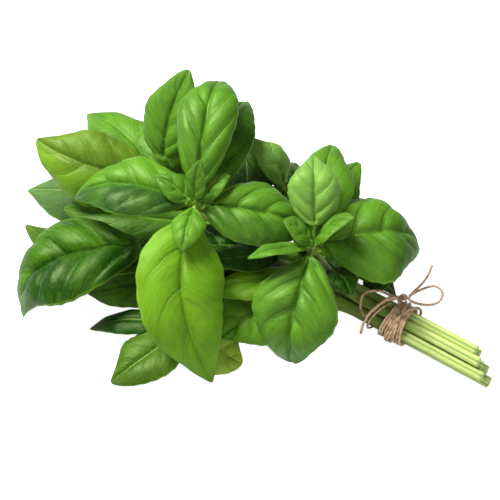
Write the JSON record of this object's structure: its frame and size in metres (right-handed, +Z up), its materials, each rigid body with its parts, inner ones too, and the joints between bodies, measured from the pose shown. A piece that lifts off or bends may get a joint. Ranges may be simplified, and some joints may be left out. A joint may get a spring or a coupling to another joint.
{
  "type": "basil bunch",
  "caption": "Bunch of fresh basil sprigs lying on its side, soft green stems tied with jute twine in a bow, glossy domed oval leaves spreading from the leafy ends.",
  "frame": {"origin": "on the surface the bunch lies on, under the middle of its bounding box", "axes": "+X from the leafy ends to the cut ends of the stems, the longest way; +Z up from the surface the bunch lies on; +Y to the left when looking along +X, and the cut ends lie towards -Y"},
  "size_m": [0.2235, 0.1596, 0.0921],
  "materials": {
    "leaf": "waxy semi-gloss living leaf, sunken veins",
    "young_leaf": "waxy semi-gloss, pale unopened leaves",
    "stem": "smooth soft green shoot, satin",
    "twine": "rough undyed jute"
  },
  "bodies": {
    "root": {"stem_a": "stem", "stem_g": "stem", "stem_b": "stem", "stem_c": "stem", "stem_d": "stem", "stem_k": "stem", "stem_h": "stem", "leaf_a1": "leaf", "leaf_a2": "leaf", "leaf_a3": "leaf", "leaf_a4": "leaf", "leaf_a5": "leaf", "leaf_a6": "leaf", "leaf_a7": "leaf", "leaf_a8": "leaf", "leaf_a9": "leaf", "leaf_a10": "leaf", "leaf_a11": "leaf", "leaf_b1": "leaf", "leaf_b2": "leaf", "leaf_b3": "leaf", "leaf_b4": "leaf", "leaf_b5": "leaf", "leaf_b6": "leaf", "leaf_c1": "leaf", "leaf_c2": "leaf", "leaf_c3": "leaf", "leaf_d1": "leaf", "leaf_d2": "leaf", "leaf_d3": "leaf", "leaf_d4": "leaf", "leaf_d5": "leaf", "leaf_g1": "leaf", "leaf_g2": "leaf", "leaf_g3": "leaf", "leaf_g4": "leaf", "leaf_g5": "leaf", "leaf_g6": "leaf", "leaf_g7": "leaf", "leaf_g8": "leaf", "leaf_g9": "leaf", "leaf_g10": "leaf", "leaf_h1": "leaf", "leaf_h2": "leaf", "leaf_h3": "leaf", "leaf_k1": "leaf", "leaf_k2": "leaf", "leaf_k3": "leaf", "leaf_k4": "leaf", "bud_a": "young_leaf", "bud_g": "young_leaf", "bud_b": "young_leaf", "bud_c": "young_leaf", "bud_d": "young_leaf", "bud_k": "young_leaf", "bud_h": "young_leaf", "twine_wrap": "twine", "twine_knot": "twine", "bow_right": "twine", "bow_left": "twine"}
  },
  "joints": []
}
